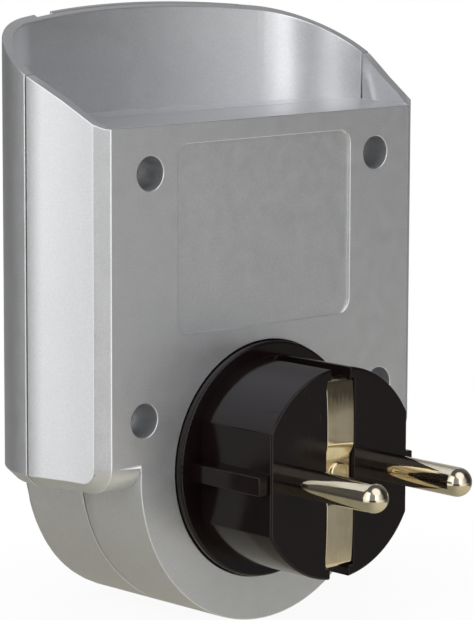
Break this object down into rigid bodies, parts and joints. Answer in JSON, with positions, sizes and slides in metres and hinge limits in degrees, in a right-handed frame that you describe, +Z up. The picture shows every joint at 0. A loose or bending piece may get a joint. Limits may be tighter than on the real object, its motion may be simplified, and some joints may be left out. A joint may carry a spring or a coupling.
{
  "type": "surge protector adapter",
  "caption": "Plug-in surge protector adapter with an earthed plug at the back, an earthed socket in front and a grip hood above.",
  "frame": {"origin": "where the plug's axis meets the plane of the rear face, which lies on the wall socket", "axes": "+Y along the plug's pins, into the wall socket; +Z up, towards the hood; the front socket faces -Y; +X to the left in the picture"},
  "size_m": [0.0774, 0.0723, 0.1015],
  "materials": {
    "silver_case": "silver metallic satin paint on moulded plastic",
    "front_plate": "silver satin",
    "black_plug": "black, moulded glossy",
    "socket_black": "black, moulded, fine satin",
    "nickel_brass": "nickel plated, polished",
    "earth_strip": "nickel plated strip, drawn and stamped",
    "zinc_steel": "zinc plated",
    "spring_steel": "bright drawn wire",
    "contact_bronze": "stamped sheet",
    "inner_white": "moulded white",
    "shutter_plastic": "smooth slippery plastic",
    "board": "glass fibre board with green solder mask",
    "varistor_blue": "dipped epoxy coating",
    "arrester_metal": "ceramic tube with plated caps",
    "component_beige": "lacquered",
    "component_black": "moulded epoxy",
    "lamp_green": "tinted clear",
    "lens_clear": "clear polished",
    "wire_brown": "soft cable sheath",
    "wire_blue": "soft cable sheath",
    "wire_green": "soft cable sheath with a yellow stripe"
  },
  "bodies": {
    "housing": {"rear_cover": "silver_case", "front_cover": "silver_case", "front_panel": "front_plate", "cover_screws": "zinc_steel", "plug_body": "black_plug", "plug_earth_strip": "earth_strip", "earth_rivet": "nickel_brass", "line_pin": "nickel_brass", "neutral_pin": "nickel_brass", "socket_insert": "socket_black", "shutter_cover": "inner_white", "contact_carrier": "inner_white", "line_contact": "contact_bronze", "neutral_contact": "contact_bronze", "earth_bracket": "contact_bronze", "circuit_board": "board", "board_screws": "zinc_steel", "varistor_line_neutral": "varistor_blue", "varistor_line_earth": "varistor_blue", "varistor_neutral_earth": "varistor_blue", "gas_discharge_tube": "arrester_metal", "thermal_fuse": "arrester_metal", "led_resistors": "component_beige", "blocking_diode": "component_black", "indicator_led": "lamp_green", "indicator_lens": "lens_clear", "line_wire": "wire_brown", "neutral_wire": "wire_blue", "earth_wire": "wire_green"},
    "shutter_rotor": {"shutter": "shutter_plastic", "shutter_spring": "spring_steel"},
    "upper_clip": {"earth_clip_upper": "earth_strip"},
    "lower_clip": {"earth_clip_lower": "earth_strip"}
  },
  "joints": [
    {"name": "shutter_turn", "type": "hinge", "parent": "housing", "child": "shutter_rotor", "pos_m": [0, -0.0144, 0], "axis": [0, 1, 0], "range_deg": [0, 42], "stiffness_Nm_per_rad": 0.0002},
    {"name": "upper_clip_bend", "type": "hinge", "parent": "housing", "child": "upper_clip", "pos_m": [0, -0.0155, 0.0178], "axis": [-1, 0, 0], "range_deg": [0, 5], "stiffness_Nm_per_rad": 0.5},
    {"name": "lower_clip_bend", "type": "hinge", "parent": "housing", "child": "lower_clip", "pos_m": [0, -0.0155, -0.0178], "axis": [1, 0, 0], "range_deg": [0, 5], "stiffness_Nm_per_rad": 0.5}
  ]
}
